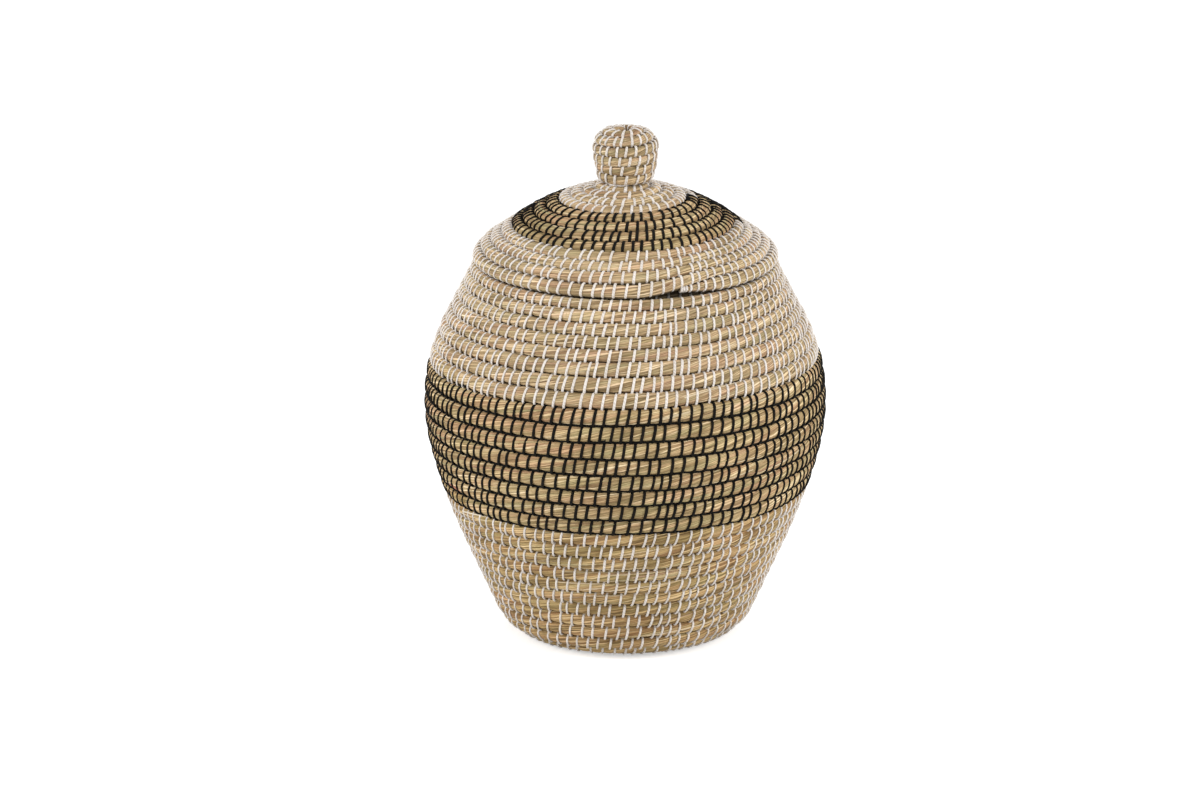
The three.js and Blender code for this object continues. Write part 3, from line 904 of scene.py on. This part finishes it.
# Blades that have worked loose
# Here and there a flat blade lies on top of the bundle and crosses it at a slant, held by the string.
# Each is 35 to 95 mm long, pale, golden, greenish or brown, and has both ends tucked in.
BLADE_LENGTHS = (35, 95)
BLADE_WIDTHS = (0.8, 1.5)
BLADE_STEPS = 24
BLADE_SLANTS = (0.2, 0.9)
BLADE_REACH = 0.9
BLADE_ACROSS = np.array([-0.5, 0, 0.5, 0])
BLADE_LIFT = np.array([0.05, 0.32, 0.05, -0.4])
TUCK_DEPTH, TUCK_SHARPNESS = 1.1, 8
LOOSE_FIBRE_GRAIN = (20, 0.35, 0.35)
BLOTCH_GRAIN = (9, 2, 2)
GRAIN_SHIFTS = (9, 5)
SINGLE_TONE = 0.6
BLADE_CELL = 3


def laid(coil, name, begin, length, theta, turned, across, lift, steps, tint):
    """Strips laid on a bundle, one for each beginning, in mm along the coil. Each starts at the angle
    theta round the bundle and turns on from there. Their profile is given by how far across and how
    high its points lie. They sink in at both ends."""
    share = np.linspace(0, 1, steps)[None, :, None]
    begin, length, theta, turned, tint = (
        np.asarray(value, float)[:, None, None] for value in (begin, length, theta, turned, tint)
    )
    along = begin + length * share
    turns = np.interp(along, coil.along, coil.stations)
    radius = coil.section(turns)[4] / 2
    tucked = -TUCK_DEPTH * np.abs(2 * share - 1) ** TUCK_SHARPNESS
    angle = theta + turned * share + across / radius
    points = coil.surface(turns, angle, lift + tucked)
    flat = 0 * angle
    across, lift = (place + theta * shift for place, shift in zip((across, lift), GRAIN_SHIFTS))
    strand = np.stack([along + flat, across + flat, lift + flat], -1)
    sheets = max(1, round(math.sqrt(len(begin) / BLADE_CELL)))
    return tubes(name, points, False, strand, tint + flat, sheets=sheets)


def loose_blades(coil, name, start, stop, apart):
    """Random blades over the outside of the courses between two turns."""
    first, last = np.interp([start, stop], coil.stations, coil.along)
    random = np.random.default_rng(coil.seed + 70 + int(start))
    count = int((last - first) / apart)
    length = random.uniform(*BLADE_LENGTHS, count)
    begin = first + random.uniform(0, 1, count) * (last - first - length)
    turned = -coil.twist * length * random.uniform(*BLADE_SLANTS, count)
    theta = random.uniform(-BLADE_REACH, BLADE_REACH, count) - turned / 2
    across = random.uniform(*BLADE_WIDTHS, count)[:, None, None] * BLADE_ACROSS
    tint = random.uniform(0, 1, count)
    return laid(coil, name, begin, length, theta, turned, across, BLADE_LIFT, BLADE_STEPS, tint)


def loose_grass(name, tones):
    """Single blades: the tone goes with the blade, with fine fibres along it."""
    material, shader, wire = new_material(name)
    strand, tint = wire.stored("strand", "Vector"), wire.stored("tint")
    fibre = strand.noise(LOOSE_FIBRE_GRAIN, 3, 0.6)
    blotch = strand.noise(BLOTCH_GRAIN, 1)
    stops = [(index / (len(tones) - 1), tone) for index, tone in enumerate(tones)]
    colour = wire.node("ShaderNodeValToRGB", {"stops": stops}, {0: tint + (blotch - 0.5) * 0.3})
    shadow = fibre.clamped(0.3, 0.65) * 0.35 + 0.65
    grey = wire.node("ShaderNodeCombineColor", {}, {0: shadow, 1: shadow, 2: shadow})
    colour.mixed(1.0, grey, "MULTIPLY").feeds(shader.inputs["Base Color"])
    fibre.bump(0.5, 0.0004).feeds(shader.inputs["Normal"])
    (0.68 - fibre * 0.2).feeds(shader.inputs["Roughness"])
    shader.inputs["Specular IOR Level"].default_value = 0.4
    return material


pale_blades = loose_grass("loose_blades_on_straw", [
    (0.25, 0.17, 0.08),
    (0.45, 0.28, 0.16),
    (0.38, 0.32, 0.16),
    (0.58, 0.42, 0.2),
    (0.68, 0.53, 0.33),
    (0.74, 0.6, 0.4),
])
dark_blades = loose_grass("loose_blades_on_olive_straw", [
    (0.2, 0.13, 0.06),
    (0.42, 0.23, 0.12),
    (0.33, 0.29, 0.13),
    (0.5, 0.36, 0.16),
    (0.6, 0.47, 0.27),
    (0.66, 0.53, 0.33),
])
for body, coil, zone, start, stop, apart, colour, grass in (
    ("basket", wall_coil, "lower_wall", band_bottom_turn, foot_turn, 70, "white", pale_blades),
    ("basket", wall_coil, "black_band", UPPER_TURNS, band_bottom_turn, 70, "black", dark_blades),
    ("basket", wall_coil, "upper_wall", 0.2, UPPER_TURNS, 65, "white", pale_blades),
    ("lid", lid_coil, "lid_brim", 0.1, LID_BRIM_TURNS, 70, "white", pale_blades),
    ("lid", lid_coil, "lid_band", LID_BRIM_TURNS, crown_turn, 70, "black", dark_blades),
    ("lid", lid_coil, "lid_crown", crown_turn, lid_turns - 1.5, 70, "white", pale_blades),
    ("lid", knob_coil, "knob", 0.3, knob_turns - 1, 55, "white", pale_blades),
):
    blades = loose_blades(coil, zone + "_loose_blades", start, stop, apart)
    fitted(blades, grass, body, f"seagrass_{colour}_sewn")

# Two single blades at the left: the turn each starts at, its length and width, the place round the
# bundle where it starts and how far it turns, in degrees.
red_grass = loose_grass("red_brown_blade", [
    (0.24, 0.075, 0.035),
    (0.34, 0.115, 0.055),
    (0.44, 0.17, 0.085),
])
bleached_grass = loose_grass("bleached_blade", [
    (0.7, 0.58, 0.4),
    (0.86, 0.76, 0.58),
])
for name, turn, length, width, theta, turned, colour, grass in (
    ("red_blade_on_black_band", 14.6, 34, 3, -16, 0, "black", red_grass),
    ("pale_blade_under_black_band", 16.573, 40, 1.7, 62, -52, "white", bleached_grass),
):
    begin = np.interp([turn], wall_coil.stations, wall_coil.along)
    theta, turned = np.radians([theta]), np.radians([turned])
    across = width * BLADE_ACROSS
    blade = laid(
        wall_coil, name, begin, [length], theta, turned, across, BLADE_LIFT, BLADE_STEPS, [SINGLE_TONE]
    )
    fitted(blade, grass, "basket", f"seagrass_{colour}_sewn")

# Ends of string
# Where a new string is taken up, the end of the old one is laid along the bundle for a stitch or two.
# A few clipped black ends stand in the grooves, and a white thread lies round the knob's foot.
THREAD_STEPS = 12
thread_across = STRING_WIDTH / 2 * np.sin(SPOKES)
thread_lift = STRING_HEIGHT / 2 * (1 + np.cos(SPOKES))


def thread_ends(coil, name, ends):
    """Short threads, each given by the turn it starts at, its length in mm, and where round the bundle
    it starts and ends in degrees."""
    turns, length, theta, to_theta = (np.array(column, float) for column in zip(*ends))
    begin = np.interp(turns, coil.stations, coil.along)
    theta, turned = np.radians(theta), np.radians(to_theta - theta)
    return laid(
        coil, name, begin, length, theta, turned, thread_across, thread_lift, THREAD_STEPS, 0 * begin
    )


for body, coil, name, colour, thread, ends in (
    ("basket", wall_coil, "white_thread_end", "white", white_string, [
        (black_stop - 0.004, 22, -38, -62),
    ]),
    ("basket", wall_coil, "black_thread_ends", "black", black_string, [
        (UPPER_TURNS - 0.015, 15, -35, -70),
        (15.587, 9, -45, -85),
        (9.455, 9, -72, -50),
        (9.452, 5, -35, -68),
        (10.54, 6, -82, -60),
    ]),
    ("lid", knob_coil, "knob_foot_thread", "white", white_string, [
        (0.31, 18, -70, -82),
    ]),
    ("lid", lid_coil, "lid_black_thread_end", "black", black_string, [
        (crown_turn - 0.03, 14, 60, 40),
    ]),
):
    fitted(thread_ends(coil, name, ends), thread, body, colour + "_string")

# The floor, the light and the camera
# A plain pale floor, a white world, soft light from both sides and a little from the front, and the
# photograph's viewpoint: 16 degrees above level, from nearly 5 m away. Lengths are in metres.
FLOOR_REACH = 12
FLOOR_COLOUR = (0.82, 0.82, 0.82, 1)
FLOOR_ROUGHNESS = 0.9
FLOOR_GLOW = 0.48
WHITE = (1, 1, 1, 1)
WORLD_LIGHT, WORLD_SEEN = 0.65, 1
LAMP_DISTANCE, LAMP_SIDE = 2.2, 1.4
LAMP_AIM_HEIGHT = 0.2
LENS, SENSOR_WIDTH = 180, 36
VIEW_ELEVATION = math.radians(16.41)
VIEW_DISTANCE = 4.803
AIM = (-0.0202, 0, 0.1878)

floor_mesh = bpy.data.meshes.new("floor")
floor_corners = [
    (x * FLOOR_REACH, y * FLOOR_REACH, 0) for x, y in ((-1, -1), (1, -1), (1, 1), (-1, 1))
]
floor_mesh.from_pydata(floor_corners, [], [(0, 1, 2, 3)])
floor = bpy.data.objects.new("floor", floor_mesh)
bpy.context.scene.collection.objects.link(floor)
floor_paint, floor_shader, floor_wire = new_material("pale_floor")
floor_shader.inputs["Base Color"].default_value = FLOOR_COLOUR
floor_shader.inputs["Roughness"].default_value = FLOOR_ROUGHNESS


def seen_or_mirrored(wire):
    """1 where the camera sees a thing straight on, in a gloss or through glass."""
    seen, glossy, through = (
        wire.node("ShaderNodeLightPath", output=ray)
        for ray in ("Is Camera Ray", "Is Glossy Ray", "Is Transmission Ray")
    )
    return wire.maths("MAXIMUM", seen, wire.maths("MAXIMUM", glossy, through))


plain = Wire(floor_wire.tree, floor_shader.outputs[0])
glow = floor_wire.node("ShaderNodeEmission", {}, {"Color": WHITE, "Strength": FLOOR_GLOW})
lit = floor_wire.node("ShaderNodeAddShader", {}, {0: plain, 1: glow})
seen = seen_or_mirrored(floor_wire)
blended = floor_wire.node("ShaderNodeMixShader", {}, {0: seen, 1: plain, 2: lit})
blended.feeds(floor_wire.tree.nodes["Material Output"].inputs["Surface"])
floor.data.materials.append(floor_paint)

world = bpy.data.worlds.new("studio")
bpy.context.scene.world = world
world.use_nodes = True
sky = Wire(world.node_tree)
soft = sky.node("ShaderNodeBackground", {}, {"Color": WHITE, "Strength": WORLD_LIGHT})
white = sky.node("ShaderNodeBackground", {}, {"Color": WHITE, "Strength": WORLD_SEEN})
shown = sky.node("ShaderNodeMixShader", {}, {0: seen_or_mirrored(sky), 1: soft, 2: white})
shown.feeds(world.node_tree.nodes["World Output"].inputs["Surface"])

for name, azimuth, elevation, power in (
    ("left_light", -158, 26, 31),
    ("right_light", -22, 26, 33),
    ("front_light", -90, 18, 3.5),
):
    lamp = bpy.data.lights.new(name, "AREA")
    lamp.shape, lamp.size, lamp.energy = "SQUARE", LAMP_SIDE, power
    holder = bpy.data.objects.new(name, lamp)
    bpy.context.scene.collection.objects.link(holder)
    across, up = math.radians(azimuth), math.radians(elevation)
    holder.location = (
        LAMP_DISTANCE * math.cos(up) * math.cos(across),
        LAMP_DISTANCE * math.cos(up) * math.sin(across),
        LAMP_AIM_HEIGHT + LAMP_DISTANCE * math.sin(up),
    )
    holder.rotation_euler = (math.pi / 2 - up, 0, across + math.pi / 2)

camera = bpy.data.objects.new("camera", bpy.data.cameras.new("camera"))
bpy.context.scene.collection.objects.link(camera)
camera.data.lens, camera.data.sensor_width = LENS, SENSOR_WIDTH
camera.location = (
    AIM[0],
    AIM[1] - VIEW_DISTANCE * math.cos(VIEW_ELEVATION),
    AIM[2] + VIEW_DISTANCE * math.sin(VIEW_ELEVATION),
)
camera.rotation_euler = (math.pi / 2 - VIEW_ELEVATION, 0, 0)
bpy.context.scene.camera = camera
bpy.context.scene.view_settings.view_transform = "Standard"
